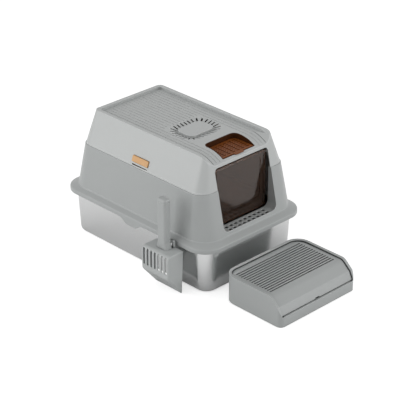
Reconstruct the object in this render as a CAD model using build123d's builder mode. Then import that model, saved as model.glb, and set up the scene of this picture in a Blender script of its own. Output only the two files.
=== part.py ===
from build123d import *
import os
from math import atan2, cos, degrees, radians, sin, sqrt

# A covered litter tray: a steel pan under a two-part plastic cover, with a swing flap,
# a scoop that hangs on the left side and a loose step in front of the entrance.
# Millimetres. The origin is the centre of the pan's underside, the front faces -Y and up is +Z.

# Running gaps
part_gap = 0.3
running_gap = 0.1

# Steel pan
pan_foot_half_x = 171.5
pan_foot_half_y = 274.0
pan_foot_radius = 35.0
pan_height = 143.0
pan_flare = 10.2
pan_mouth_radius = 52.0
pan_wall = 0.8
pan_bottom_round = 14.0
pan_rim_width = 10.0
pan_curl_depth = 4.0

# Lower cover
cover_wall = 2.8
lip_gap_x = 5.7
lip_gap_y = 2.8
lip_radius = 61.5
lip_below_rim = 6.5
lip_height = 12.0
lip_wall = 3.0
lip_round = 4.0
flange_inset_x = 16.8
flange_inset_y = 21.0
flange_rise = 10.3
wall_foot_radius = 59.0
cover_rise = 131.2
cover_draw_x = 16.3
cover_draw_y = 28.6
seam_radius = 40.0
seam_round = 2.0
ledge_width = 3.0
ledge_height = 1.0
seat_rib_width = 2.5
seat_rib_inset = 3.0
tab_half_top = 49.0
tab_half_bottom = 13.0
tab_depth = 15.2
tab_swell = 17.0

# Entrance and the duct behind it
entrance_half = 103.5
entrance_above_lip = 21.5
entrance_below_roof = 29.0
entrance_radius_low = 18.0
entrance_radius_high = 12.0
duct_step = 1.5
duct_wall = 2.8
duct_depth = 40.5
sill_hole_radius = 5.5
sill_hole_margin = 31.1
sill_hole_columns = 9
sill_row_pitch = 16.0
sill_rows_setback = 19.5

# Lid
lid_wall = 2.8
lid_rise = 97.4
lid_ledge = 2.0
lid_draw_x = 36.6
lid_draw_y = 21.0
lid_bottom_radius = 38.5
lid_top_radius = 15.0
rim_depth = 8.4
rim_width = 10.7
rim_corner_radius = 6.0
rim_front_radius = 30.0
brow_setback = 57.4
brow_radius = 107.0
brow_side_margin = 14.0
brow_flare = 26.0
brow_height = 20.0
brow_blend = 25.0
locating_lip_wall = 2.2
locating_lip_gap = 0.6
locating_lip_depth = 6.0

# Grooves in the roof
groove_side_margin = 16.4
groove_count = 17
groove_width = 2.4
groove_depth = 1.0
groove_rear_margin = 10.7
groove_vent_gap = 1.5
groove_long_angle = 34.0

# Vent in the roof: a sloping ring round a flat island
vent_setback = 172.4
vent_half_x = 72.5
vent_half_y = 57.5
vent_radius = 44.0
vent_width = 25.0
vent_depth = 6.5
vent_slot_count = 28
vent_wall = 1.6
vent_slot_width = 5.4
vent_slot_end_gap = 1.2

# Roof hatch
hatch_half = 60.0
hatch_length = 76.0
hatch_front_margin = 3.4
hatch_corner = 17.0
hatch_gap = 0.6
hatch_thickness = 4.0
hatch_border = 6.0
hatch_columns = 6
hatch_rows = 7
hatch_rib = 4.2
hatch_pin_radius = 1.5
hatch_tab_half = 17.0
hatch_tab_reach = 7.0
well_wall = 2.2
well_ledge = 3.0
well_ledge_height = 2.2
well_ledge_clear = 4.0

# Side clips
clip_y_half = 32.0
clip_length = 17.8
clip_proud = 4.0
clip_edge_round = 1.4
clip_above_seam = 20.7
clip_window_gap_y = 0.5
clip_window_gap_t = 0.9
clip_pin_radius = 1.5
clip_pin_inset = 1.7
clip_neck_half = 30.0
clip_leg_reach = 17.0
clip_slot_above_seam = 5.3
clip_slot_height = 3.5
clip_ear_thickness = 3.5
catch_half = 20.0

# Flap
flap_side_gap = 5.0
flap_sill_gap = 1.0
flap_panel = 2.0
flap_frame = 4.6
flap_frame_side = 19.0
flap_frame_top = 9.0
flap_frame_bottom = 34.0
flap_corner = 14.0
flap_rod_drop = 11.0
flap_above_rod = 5.5
flap_rod_radius = 1.75
flap_barrel_radius = 3.5
flap_rib_count = 30
flap_rib_margin = 17.3
flap_rib_height = 11.0
flap_rib_proud = 0.9
flap_bead_inset = 5.0
flap_bead_width = 2.4
flap_bead_height = 1.2

# Rod brackets
bracket_web = 3.0
bracket_web_gap = 0.7
bracket_flange = 15.0
bracket_flange_wall = 2.5
bracket_half_height = 8.0
bracket_front_edge = 3.3
bracket_back = 9.5
screw_radius = 1.5
screw_head_radius = 2.6
screw_head_height = 1.8
screw_length = 7.0
screw_spread = 4.5

# Scoop
scoop_y = -168.0
scoop_stand_off = 8.0
scoop_depth = 56.0
scoop_width = 107.0
scoop_below_lip = 3.0
scoop_fold_z = 62.0
scoop_tip_setback = 5.0
guide_width = 6.0
guide_top_over_lip = 6.0
scoop_tip_z = 2.0
scoop_wall = 2.2
scoop_edge_round = 12.0
scoop_side_round = 4.0
scoop_fold_round = 16.0
scoop_slot_count = 7
scoop_slot_side_margin = 10.2
scoop_slot_width = 7.0
scoop_slot_above_fold = 15.0
scoop_slot_below_top = 3.5
sieve_columns = 13
sieve_rows = 9
sieve_margin_across = 10.8
sieve_margin_along = 9.4
sieve_hole_across = 4.4
sieve_hole_along = 3.4
handle_width = 33.0
handle_depth = 24.0
handle_setback = 8.0
handle_wall = 2.5
handle_flare = 5.0
handle_flare_height = 18.0
handle_length = 140.0
handle_cap_height = 11.0
handle_round = 7.0
handle_peg_radius = 2.9
handle_peg_spread = 14.0
handle_window_half = 10.0
cap_spigot = 6.0

# Hanger for the scoop
hanger_notch_half = 15.0
hanger_notch_low = 3.0
hanger_notch_high = 1.5
hanger_plate_wall = 2.0
hanger_plate_half = 20.0
hanger_arm_half = 8.5
hanger_arm_thickness = 3.0
hanger_arm_below_lip_top = 3.5
hanger_finger = 3.0
hanger_finger_rise = 5.0

# Step
step_length = 300.0
step_depth = 220.0
step_centre_x = -1.6
step_rear_gap = 17.0
step_height = 84.0
step_rear_corner = 43.0
step_front_corner = 16.0
step_ledge_front_gap = 30.0
step_wall = 2.6
step_rim = 7.5
step_groove = 1.8
step_sink = 4.5
step_lid_wall = 4.0
step_front_lip = 31.0
step_crease_back = 13.0
step_crease_rise = 27.0
step_crease_round = 2.5
step_slope_run = 30.0
step_bend = 25.0
step_ledge_width = 10.0
step_ledge_wall = 2.4
step_slot_count = 14
step_slot_width = 4.9
step_slot_side_gap = 22.0
step_slot_rear_gap = 29.5
step_slot_front_gap = 63.75
step_notch_half = 8.0
step_notch_height = 2.5
foot_radius = 9.0
foot_height = 2.0
foot_proud = 1.0
foot_inset = 34.0

# Levels and sections that follow from the sizes above
pan_rim_half_x = pan_foot_half_x + pan_flare + pan_rim_width
pan_rim_half_y = pan_foot_half_y + pan_flare + pan_rim_width
pan_rim_radius = pan_mouth_radius + pan_rim_width
lip_half_x = pan_rim_half_x + lip_gap_x + lip_wall
lip_half_y = pan_rim_half_y + lip_gap_y + lip_wall
lip_bottom = pan_height - lip_below_rim
lip_top = lip_bottom + lip_height
wall_foot_z = lip_top + flange_rise
seam_z = wall_foot_z + cover_rise
lid_bottom_z = seam_z + part_gap
lid_top_z = seam_z + lid_rise
roof_z = lid_top_z - rim_depth
entrance_sill = lip_top + entrance_above_lip
entrance_top = roof_z - entrance_below_roof
pan_foot = (0.0, pan_foot_half_x, pan_foot_half_y, pan_foot_radius)
pan_mouth = (pan_height, pan_foot_half_x + pan_flare, pan_foot_half_y + pan_flare, pan_mouth_radius)
lip_low = (lip_bottom, lip_half_x, lip_half_y, lip_radius)
lip_high = (lip_top, lip_half_x, lip_half_y, lip_radius)
wall_foot = (wall_foot_z, lip_half_x - flange_inset_x, lip_half_y - flange_inset_y, wall_foot_radius)
seam = (seam_z, wall_foot[1] - cover_draw_x, wall_foot[2] - cover_draw_y, seam_radius)
lid_foot = (lid_bottom_z, seam[1] - lid_ledge, seam[2] - lid_ledge, lid_bottom_radius)
lid_crown = (lid_top_z, lid_foot[1] - lid_draw_x, lid_foot[2] - lid_draw_y, lid_top_radius)
duct_front_y = -wall_foot[2]
duct_rear_y = duct_front_y + duct_depth
duct_low = entrance_sill - duct_step
recess_half_x = lid_crown[1] - rim_width
recess_rear_y = lid_crown[2] - rim_width
brow_start_y = brow_setback - lid_crown[2]
brow_half = recess_half_x - brow_side_margin
vent_y = vent_setback - lid_crown[2]
hatch_front_y = hatch_front_margin - lid_crown[2]
hatch_rear_y = hatch_front_y + hatch_length
clip_z = seam_z + clip_above_seam
clip_pin_depth = lid_wall + clip_pin_inset
scoop_top = lip_bottom - scoop_below_lip
scoop_mouth_x = -lip_half_x - scoop_stand_off
scoop_back_x = scoop_mouth_x - scoop_depth
scoop_tip_x = scoop_mouth_x - scoop_tip_setback
handle_cap_z = scoop_top + handle_length


def between(low, high, z, inset=0.0):
    """The section at height z of the frustum from low to high, moved inward by inset."""
    share = (z - low[0]) / (high[0] - low[0])
    half_x, half_y, radius = (a + share * (b - a) for a, b in zip(low[1:], high[1:]))
    return z, half_x - inset, half_y - inset, max(radius - inset, 1.0)


def section(z, half_x, half_y, radius):
    """A rounded rectangle about the origin at height z."""
    with BuildSketch(Plane.XY.offset(z)) as outline:
        RectangleRounded(2 * half_x, 2 * half_y, radius)
    return outline.sketch


def frustum(*sections):
    """A solid through rounded rectangles, with straight sides from each to the next."""
    with BuildPart() as body:
        for low, high in zip(sections, sections[1:]):
            loft([section(*low), section(*high)], ruled=True)
    return body.part


def rim_ring(z, height, half_x, half_y, radius, width):
    """An upright ring of the given width, measured inward from its outer half sizes."""
    with BuildPart() as ring:
        extrude(section(z, half_x, half_y, radius), height)
        extrude(section(z, half_x - width, half_y - width, radius - width), height, mode=Mode.SUBTRACT)
    return ring.part


def front_y(low, high, z, inset=0.0):
    """Y of the front wall at height z, moved back by inset."""
    return -between(low, high, z)[2] + inset


def upright_hole(half_width, low, high, radius_low, radius_high, y_front, y_rear):
    """A prism along Y through a doorway outline that stands in the XZ plane."""
    with BuildPart() as prism:
        with BuildSketch(Plane.XZ.offset(-y_rear)) as doorway:
            with Locations((0, (low + high) / 2)):
                Rectangle(2 * half_width, high - low)
            fillet(doorway.vertices().group_by(Axis.Y)[0], radius_low)
            if radius_high > 0:
                fillet(doorway.vertices().group_by(Axis.Y)[-1], radius_high)
        extrude(amount=y_rear - y_front)
    return prism.part


# Steel pan: a drawn tub with a flat rim and a rolled edge
pan_core_foot = between(pan_foot, pan_mouth, pan_wall, pan_wall)
pan_core_mouth = between(pan_foot, pan_mouth, pan_height + 1, pan_wall)
with BuildPart() as pan_core:
    loft([section(*pan_core_foot), section(*pan_core_mouth)], ruled=True)
    fillet(pan_core.faces().sort_by(Axis.Z)[0].edges(), pan_bottom_round - pan_wall)

with BuildPart() as steel_pan:
    loft([section(*pan_foot), section(*pan_mouth)], ruled=True)
    fillet(steel_pan.faces().sort_by(Axis.Z)[0].edges(), pan_bottom_round)
    extrude(section(pan_height - pan_wall, pan_rim_half_x, pan_rim_half_y, pan_rim_radius), pan_wall)
    curl_z = pan_height - pan_curl_depth
    add(rim_ring(curl_z, pan_curl_depth, pan_rim_half_x, pan_rim_half_y, pan_rim_radius, pan_wall))
    add(pan_core.part, mode=Mode.SUBTRACT)
steel_pan.part.label = "steel_pan"

# Lower cover
flange_sheet = cover_wall * 1.18
cover_inside = [
    (lip_bottom - 1, lip_half_x - lip_wall, lip_half_y - lip_wall, lip_radius - lip_wall),
    (lip_top - 1.5, lip_half_x - lip_wall, lip_half_y - lip_wall, lip_radius - lip_wall),
    between(wall_foot, seam, wall_foot_z - flange_sheet + 1.7, cover_wall),
    between(wall_foot, seam, seam_z + 1, cover_wall),
]
ledge_section = (wall_foot_z - ledge_height, wall_foot[1] + ledge_width, wall_foot[2] + ledge_width,
                 wall_foot[3] + ledge_width)
cover_outside = frustum(lip_low, lip_high, wall_foot, seam)
duct_half = entrance_half + duct_step
with BuildPart() as duct:
    add(
        upright_hole(
            duct_half + duct_wall, duct_low - duct_wall, seam_z, entrance_radius_low + duct_wall, 0,
            duct_front_y, duct_rear_y
        )
    )
    add(cover_outside, mode=Mode.INTERSECT)
    add(
        upright_hole(duct_half, duct_low, seam_z + 1, entrance_radius_low, 0, duct_front_y, duct_rear_y + 1),
        mode=Mode.SUBTRACT,
    )

seat_half_x = pan_rim_half_x - seat_rib_inset
seat_half_y = pan_rim_half_y - seat_rib_inset
seat_radius = pan_rim_radius - seat_rib_inset
seat_z = pan_height + part_gap
seat_height = lip_top + 2.0 - seat_z


def side_plane(side, z):
    """A plane on the lid's side wall at height z: x along -Y or +Y, y up the slope, normal outward."""
    half_x = between(lid_foot, lid_crown, z)[1]
    slope = lid_draw_x / (lid_crown[0] - lid_foot[0])
    length = sqrt(1 + slope * slope)
    outward = Vector(side / length, 0, slope / length)
    return Plane(origin=(side * half_x, 0, z), x_dir=(0, side, 0), z_dir=outward)


def catch(side):
    """A tongue that stands on the cover's rim inside the lid, behind one clip."""
    clip = side_plane(side, clip_z)
    nib = clip.from_local_coords(Vector(0, -(clip_leg_reach - 2.5), -(clip_pin_depth + 5.5)))
    tip = abs(nib.X) - part_gap
    wall_x = between(wall_foot, seam, seam_z - 9)[1] - 1.0
    with BuildPart() as tongue:
        with BuildSketch(Plane.XZ.offset(-catch_half)):
            with BuildLine():
                Polyline(
                    (side * wall_x, seam_z - 6),
                    (side * (tip - 1.4), seam_z - 6),
                    (side * (tip - 1.4), nib.Z + 1.5),
                    (side * tip, nib.Z + 2.5),
                    (side * tip, nib.Z + 4.0),
                    (side * (tip - 1.4), nib.Z + 5.5),
                    (side * (tip - 4.0), nib.Z + 5.5),
                    (side * (tip - 4.0), seam_z - 12),
                    (side * wall_x, seam_z - 12),
                    close=True,
                )
            make_face()
        extrude(amount=2 * catch_half)
    return tongue.part


def scalloped_tab(side):
    """The shallow finger tab that hangs from the lip on one long side."""
    with BuildPart() as tab:
        with BuildSketch(Plane.YZ.offset(side * lip_half_x)):
            with BuildLine():
                low = lip_bottom - tab_depth
                high = lip_bottom + lip_wall
                left = Bezier(
                    (-tab_half_top, lip_bottom), (-tab_half_top + tab_swell, lip_bottom),
                    (-tab_half_bottom - tab_swell, low), (-tab_half_bottom, low)
                )
                right = Bezier(
                    (tab_half_bottom, low), (tab_half_bottom + tab_swell, low),
                    (tab_half_top - tab_swell, lip_bottom), (tab_half_top, lip_bottom)
                )
                Line(left @ 1, right @ 0)
                Polyline(right @ 1, (tab_half_top, high), (-tab_half_top, high), left @ 0)
            make_face()
        extrude(amount=-side * lip_wall)
    return tab.part


arm_top = lip_top - hanger_arm_below_lip_top
notch_low = arm_top - hanger_arm_thickness - hanger_notch_low
notch_high = arm_top + hanger_notch_high
with BuildPart() as lower_cover:
    add(cover_outside)
    fillet(lower_cover.edges().filter_by_position(Axis.Z, lip_top - 0.01, lip_top + 0.01), lip_round)
    fillet(lower_cover.edges().filter_by_position(Axis.Z, seam_z - 0.01, seam_z + 0.01), seam_round)
    loft([section(*ledge_section), section(*between(wall_foot, seam, wall_foot_z + 0.6, 0.2))], ruled=True)
    add(frustum(*cover_inside), mode=Mode.SUBTRACT)
    add(duct.part)
    add(rim_ring(seat_z, seat_height, seat_half_x, seat_half_y, seat_radius, seat_rib_width))
    for side in (-1, 1):
        add(scalloped_tab(side))
        add(catch(side))
    above_seam = seam_z + entrance_radius_low
    add(
        upright_hole(
            entrance_half, entrance_sill, above_seam, entrance_radius_low, 0,
            2 * duct_front_y, duct_rear_y - 4,
        ),
        mode=Mode.SUBTRACT,
    )
    sill_hole_pitch = 2 * (entrance_half - sill_hole_margin) / (sill_hole_columns - 1)
    with BuildSketch(Plane.XY.offset(duct_low - duct_wall - 1)):
        with Locations((0, duct_front_y + sill_rows_setback)):
            with GridLocations(sill_hole_pitch, sill_row_pitch, sill_hole_columns, 2):
                Circle(sill_hole_radius)
    extrude(amount=duct_wall + 2, mode=Mode.SUBTRACT)
    with BuildSketch(Plane.YZ.offset(-lip_half_x - 1)) as notch:
        with Locations((scoop_y, (notch_low + notch_high) / 2)):
            RectangleRounded(2 * hanger_notch_half, notch_high - notch_low, 1.5)
    extrude(amount=lip_wall + 2, mode=Mode.SUBTRACT)
lower_cover.part.label = "lower_cover"

# Lid
lid_block = frustum(lid_foot, lid_crown)


def brow_z(y):
    """Height of the curved front of the roof at y."""
    return brow_centre_z + sqrt(brow_radius ** 2 - (y - brow_start_y) ** 2)


def brow_point(radius, angle):
    """A point (y, z) on an arc about the brow's centre, at an angle forward from upright."""
    return brow_start_y - radius * sin(angle), brow_centre_z + radius * cos(angle)


# The crown keeps its full height along the sides and bends down at the front
front_top_y = front_y(lid_foot, lid_crown, lid_top_z)
front_tilt = atan2(lid_draw_y, lid_crown[0] - lid_foot[0])
crown_turn = radians(90) - front_tilt
crown_tangent = rim_front_radius * (1 - cos(crown_turn)) / sin(crown_turn)
crown_start_y = front_top_y + crown_tangent
crown_end_y = front_top_y - crown_tangent * sin(front_tilt)
crown_end_z = lid_top_z - crown_tangent * cos(front_tilt)
with BuildPart() as crown:
    with BuildSketch(Plane.YZ.offset(-lip_half_x)):
        with BuildLine():
            Polyline(
                (crown_start_y, lid_top_z), (lip_half_y, lid_top_z), (lip_half_y, lid_bottom_z),
                (-lip_half_y, lid_bottom_z), (-lip_half_y, crown_end_z), (crown_end_y, crown_end_z)
            )
            up_the_front = (sin(front_tilt), cos(front_tilt))
            TangentArc((crown_end_y, crown_end_z), (crown_start_y, lid_top_z), tangent=up_the_front)
        make_face()
    extrude(amount=2 * lip_half_x)

# The brow is the curved front of the roof, sunk between two shoulders that flare up from it
brow_centre_z = roof_z - brow_radius
brow_top = roof_z + 3 * brow_height
with BuildPart() as brow:
    with BuildSketch(Plane.XZ.offset(-brow_start_y)):
        with BuildLine():
            edge = FilletPolyline(
                (0, roof_z),
                (brow_half, roof_z),
                (brow_half + brow_flare, roof_z + brow_height),
                (brow_half + brow_flare, brow_top),
                (0, brow_top),
                radius=[brow_blend, brow_blend / 2, 1.0],
            )
            Line(edge @ 1, edge @ 0)
        make_face()
        mirror(about=Plane.YZ)
    revolve(axis=Axis((0, brow_start_y, brow_centre_z), (1, 0, 0)), revolution_arc=60)

with BuildPart() as lid_outside:
    add(lid_block)
    add(crown.part, mode=Mode.INTERSECT)
    with BuildSketch(Plane.XY.offset(roof_z)) as recess:
        with Locations((0, (recess_rear_y - lip_half_y) / 2)):
            Rectangle(2 * recess_half_x, recess_rear_y + lip_half_y)
        fillet(recess.vertices().group_by(Axis.Y)[-1], rim_corner_radius)
    extrude(amount=rim_depth + 1, mode=Mode.SUBTRACT)
    add(brow.part, mode=Mode.SUBTRACT)

inner_radius = brow_radius - lid_wall
arc_end = radians(44)
with BuildPart() as cavity_limit:
    with BuildSketch(Plane.YZ.offset(-lip_half_x)):
        with BuildLine():
            start = (brow_start_y, roof_z - lid_wall)
            middle = brow_point(inner_radius, arc_end / 2)
            end = brow_point(inner_radius, arc_end)
            ThreePointArc(start, middle, end)
            Polyline(
                end, (-lip_half_y, end[1]), (-lip_half_y, seam_z - 5), (lip_half_y, seam_z - 5),
                (lip_half_y, roof_z - lid_wall), start
            )
        make_face()
    extrude(amount=2 * lip_half_x)

with BuildPart() as lid_cavity:
    loft(
        [
            section(*between(lid_foot, lid_crown, lid_bottom_z - 1, lid_wall)),
            section(*between(lid_foot, lid_crown, roof_z, lid_wall)),
        ],
        ruled=True,
    )
    add(cavity_limit.part, mode=Mode.INTERSECT)

# Levels of the hatch, its well and its pins
hatch_top = brow_z(hatch_front_y) + 0.4
hatch_bottom = hatch_top - hatch_thickness
well_low = hatch_bottom - part_gap - well_ledge_height
hatch_mid_y = (hatch_rear_y + hatch_front_y) / 2
hatch_span_y = hatch_rear_y - hatch_front_y
cell_x = 2 * (hatch_half - hatch_border) / hatch_columns
cell_y = (hatch_span_y - 2 * hatch_border - 3) / hatch_rows
cells_y = hatch_mid_y - 1.5
hatch_pin_y = cells_y + cell_y * (hatch_rows / 2 - 1)
hatch_pin_z = hatch_bottom + hatch_thickness / 2


def hatch_outline(z, grow):
    """The hatch opening at height z, moved outward by grow, with its two rear corners rounded."""
    with BuildSketch(Plane.XY.offset(z)) as outline:
        with Locations((0, hatch_mid_y)):
            Rectangle(2 * (hatch_half + grow), hatch_span_y + 2 * grow)
        fillet(outline.vertices().group_by(Axis.Y)[-1], hatch_corner + grow)
        fillet(outline.vertices().group_by(Axis.Y)[0], 1.5)
    return outline.sketch


# Liner of the hatch opening, with a ledge that the hatch lies on
with BuildPart() as hatch_well:
    extrude(hatch_outline(well_low, well_wall), roof_z - well_low)
    add(lid_outside.part, mode=Mode.INTERSECT)
    extrude(hatch_outline(well_low - 1, 0), roof_z - well_low + 2, mode=Mode.SUBTRACT)
    ledge_span = hatch_pin_y - well_ledge_clear - hatch_front_y
    with BuildSketch(Plane.XY.offset(well_low)):
        with Locations((0, hatch_front_y + ledge_span / 2)):
            Rectangle(2 * hatch_half + 2, ledge_span + 2)
        with Locations((0, hatch_front_y + ledge_span / 2 + well_ledge)):
            Rectangle(2 * (hatch_half - well_ledge), ledge_span, mode=Mode.SUBTRACT)
    extrude(amount=well_ledge_height)
    with Locations((0, hatch_front_y - 2.0, hatch_top - 2.0 + 5)):
        Box(2 * (hatch_tab_half + 1), 5.4, 11, mode=Mode.SUBTRACT)
    with Locations((0, hatch_pin_y, hatch_pin_z)):
        bore_length = 2 * (hatch_half + well_wall) + 1
        Cylinder(hatch_pin_radius + running_gap, bore_length, rotation=(0, 90, 0), mode=Mode.SUBTRACT)
hatch_well.part.label = "hatch_well"

# The vent's floor falls from the roof to the foot of the island in its middle
vent_slope = vent_width / vent_depth
vent_island = (vent_half_x - vent_width, vent_half_y - vent_width, vent_radius - vent_width)
vent_centre = Location((0, vent_y, 0))


def vent_dish(drop, high):
    """All that lies over the vent's floor, up to height high, with the floor lowered by drop."""
    grow = (high - roof_z + drop) * vent_slope
    low = (roof_z - vent_depth - drop, *vent_island)
    return frustum(low, (high, vent_half_x + grow, vent_half_y + grow, vent_radius + grow)).moved(vent_centre)


def vent_column(grow, high):
    """The island as an upright column from under the vent to height high, moved outward by grow."""
    low = roof_z - 3 * vent_depth
    half_x, half_y, radius = vent_island
    with BuildPart() as column:
        extrude(section(low, half_x + grow, half_y + grow, radius + grow), high - low)
    return column.part.moved(vent_centre)


with BuildPart() as vent_floor:
    add(vent_dish(vent_wall, roof_z - lid_wall / 2))
    add(vent_column(-vent_wall, roof_z - lid_wall), mode=Mode.SUBTRACT)

with BuildPart() as vent_ring:
    add(vent_dish(0, roof_z + 1))
    add(vent_column(0, roof_z + 2), mode=Mode.SUBTRACT)


with BuildSketch(Plane.XY.offset(roof_z)) as vent_middle:
    inset = vent_width / 2
    with Locations((0, vent_y)):
        RectangleRounded(2 * (vent_half_x - inset), 2 * (vent_half_y - inset), vent_radius - inset)


def vent_slots():
    """Short slots through the vent's floor, square to the ring."""
    path = vent_middle.sketch.faces()[0].outer_wire()
    with BuildPart() as slots:
        for number in range(vent_slot_count):
            share = (number + 0.5) / vent_slot_count
            spot = path @ share
            along = path % share
            across = Plane(origin=(spot.X, spot.Y, roof_z), x_dir=(-along.Y, along.X, 0))
            with BuildSketch(across.offset(-3 * vent_depth)):
                SlotOverall(vent_width - 2 * vent_slot_end_gap, vent_slot_width)
            extrude(amount=3 * vent_depth + 1)
    return slots.part


def grooves():
    """Shallow grooves along the roof. The outer three on each side run down the brow."""
    pitch = 2 * (recess_half_x - groove_side_margin) / (groove_count - 1)
    rear_y = recess_rear_y - groove_rear_margin
    length = rear_y - (vent_y + vent_half_y + groove_vent_gap)
    with BuildPart() as cuts:
        for number in range(groove_count):
            x = (number - (groove_count - 1) / 2) * pitch
            if abs(x) < vent_half_x + groove_width:
                with BuildSketch(Plane.XY.offset(roof_z - groove_depth)):
                    with Locations((x, rear_y - length / 2)):
                        SlotOverall(length, groove_width, rotation=90)
                extrude(amount=groove_depth + 1)
            else:
                low = brow_radius - groove_depth
                high = brow_radius + groove_width
                turn = radians(groove_long_angle)
                with BuildSketch(Plane.YZ.offset(x - groove_width / 2)):
                    with BuildLine():
                        floor = ThreePointArc(
                            brow_point(low, 0), brow_point(low, turn / 2), brow_point(low, turn)
                        )
                        cover = ThreePointArc(
                            brow_point(high, turn), brow_point(high, turn / 2), brow_point(high, 0)
                        )
                        Line(floor @ 1, cover @ 0)
                        Polyline(
                            cover @ 1, (rear_y, brow_centre_z + high), (rear_y, brow_centre_z + low),
                            floor @ 0
                        )
                    make_face()
                extrude(amount=groove_width)
    return cuts.part


# Rod, brackets and screws of the flap
rod_z = entrance_top - flap_rod_drop
bracket_low_z = rod_z - bracket_half_height
bracket_high_z = rod_z + 5.0
web_front_y = front_y(lid_foot, lid_crown, bracket_high_z, lid_wall * 1.03) + part_gap
rod_y = web_front_y + bracket_front_edge
pad_rear_y = web_front_y + bracket_back
web_x = entrance_half + bracket_web_gap
pad_x = web_x + bracket_web + part_gap
pad_width = bracket_flange
screw_x = pad_x + pad_width / 2
screw_z = (bracket_low_z + bracket_high_z) / 2


def screw_places(y):
    """Planes for the two screws of each bracket, facing the rear."""
    return [
        Plane(origin=(side * screw_x, y, screw_z + rise), z_dir=(0, 1, 0))
        for side in (-1, 1)
        for rise in (-screw_spread, screw_spread)
    ]


with BuildPart() as bracket_pads:
    for side in (-1, 1):
        with BuildSketch(Plane.XZ.offset(-pad_rear_y)):
            with Locations((side * (pad_x + pad_width / 2), screw_z)):
                Rectangle(pad_width, bracket_high_z - bracket_low_z + 2)
        extrude(amount=30)
    add(lid_outside.part, mode=Mode.INTERSECT)
    for place in screw_places(pad_rear_y):
        with BuildSketch(place):
            Circle(screw_radius)
        extrude(amount=-(screw_length - bracket_flange_wall), mode=Mode.SUBTRACT)

lip_section = between(wall_foot, seam, seam_z, cover_wall + locating_lip_gap)
with BuildPart() as locating_lip:
    add(rim_ring(seam_z - locating_lip_depth, locating_lip_depth + 5, *lip_section[1:], locating_lip_wall))
    with Locations((0, -lip_half_y + 80, seam_z)):
        Box(2 * (duct_half + duct_wall + 2), 160, 60, mode=Mode.SUBTRACT)
    with Locations((0, 0, seam_z)):
        Box(2 * lip_half_x, 2 * (clip_y_half + 8), 60, mode=Mode.SUBTRACT)

with BuildPart() as lid:
    add(lid_outside.part)
    add(lid_cavity.part, mode=Mode.SUBTRACT)
    extrude(hatch_outline(well_low, well_wall + part_gap), roof_z - well_low + 1, mode=Mode.SUBTRACT)
    add(vent_floor.part)
    add(bracket_pads.part)
    add(locating_lip.part)
    add(vent_ring.part, mode=Mode.SUBTRACT)
    add(vent_slots(), mode=Mode.SUBTRACT)
    add(grooves(), mode=Mode.SUBTRACT)
    add(
        upright_hole(
            entrance_half, seam_z - 10, entrance_top, 0.5, entrance_radius_high,
            duct_front_y - 20, rod_y + 6,
        ),
        mode=Mode.SUBTRACT,
    )
    with Locations((0, hatch_front_y - 2.0, hatch_top - 2.0 + 5)):
        Box(2 * (hatch_tab_half + 1), 5.4, 11, mode=Mode.SUBTRACT)
    for side in (-1, 1):
        face = side_plane(side, clip_z)
        with BuildSketch(face.offset(3)):
            RectangleRounded(2 * (clip_y_half + clip_window_gap_y), clip_length + 2 * clip_window_gap_t, 2.5)
        extrude(amount=-12, mode=Mode.SUBTRACT)
        with BuildSketch(side_plane(side, seam_z + clip_slot_above_seam).offset(3)):
            SlotOverall(2 * clip_y_half - 2, clip_slot_height)
        extrude(amount=-12, mode=Mode.SUBTRACT)
        for end in (-1, 1):
            ear_y = end * (clip_y_half + clip_window_gap_y + 0.5 + clip_ear_thickness / 2)
            with BuildSketch(face.offset(-lid_wall + 0.3)):
                with Locations((side * ear_y, 0)):
                    Rectangle(clip_ear_thickness, 4 * clip_pin_radius)
            extrude(amount=-(clip_pin_depth + 2 * clip_pin_radius - lid_wall + 0.3))
        pin_at = face.from_local_coords(Vector(0, 0, -clip_pin_depth))
        with Locations(pin_at):
            Cylinder(
                clip_pin_radius + 0.05, 2 * (clip_y_half + clip_ear_thickness + 2), rotation=(90, 0, 0),
                mode=Mode.SUBTRACT,
            )
lid.part.label = "lid"

# Roof hatch: a waffle grille with a finger tab and two stub pins
with BuildPart() as roof_hatch:
    extrude(hatch_outline(hatch_bottom, -hatch_gap), hatch_thickness)
    fillet(
        roof_hatch.edges().filter_by(Axis.X).group_by(Axis.Y)[-1],
        hatch_thickness / 2 - 0.2,
    )
    with BuildSketch(Plane.XY.offset(hatch_bottom - 1)):
        with Locations((0, cells_y)):
            with GridLocations(cell_x, cell_y, hatch_columns, hatch_rows):
                RectangleRounded(cell_x - hatch_rib, cell_y - hatch_rib, 1.2)
    extrude(amount=hatch_thickness + 2, mode=Mode.SUBTRACT)
    with BuildSketch(Plane.XY.offset(hatch_top - 1.6)):
        with Locations((0, hatch_front_y + hatch_gap - hatch_tab_reach / 2 + 0.5)):
            RectangleRounded(2 * hatch_tab_half, hatch_tab_reach + 1, 3.0)
    extrude(amount=1.6)
    with Locations((0, hatch_pin_y, hatch_pin_z)):
        Cylinder(hatch_pin_radius, 2 * (hatch_half + well_wall - 0.6), rotation=(0, 90, 0))
roof_hatch.part.label = "roof_hatch"

# Flap: a thin clear panel in a thick frame that hangs on a rod
flap_half = entrance_half - flap_side_gap
flap_bottom = duct_low + flap_sill_gap
flap_top = rod_z + flap_above_rod
flap_rib_pitch = 2 * (flap_half - flap_rib_margin) / (flap_rib_count - 1)
flap_clear_half = flap_half - flap_frame_side
flap_clear_low = flap_bottom + flap_frame_bottom
flap_clear_high = flap_top - flap_frame_top - 4


def flap_face(half_width, low, high, radius, y):
    """A rounded upright face at the given y."""
    with BuildSketch(Plane.XZ.offset(-y)) as face:
        with Locations((0, (low + high) / 2)):
            RectangleRounded(2 * half_width, high - low, radius)
    return face.sketch


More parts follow.
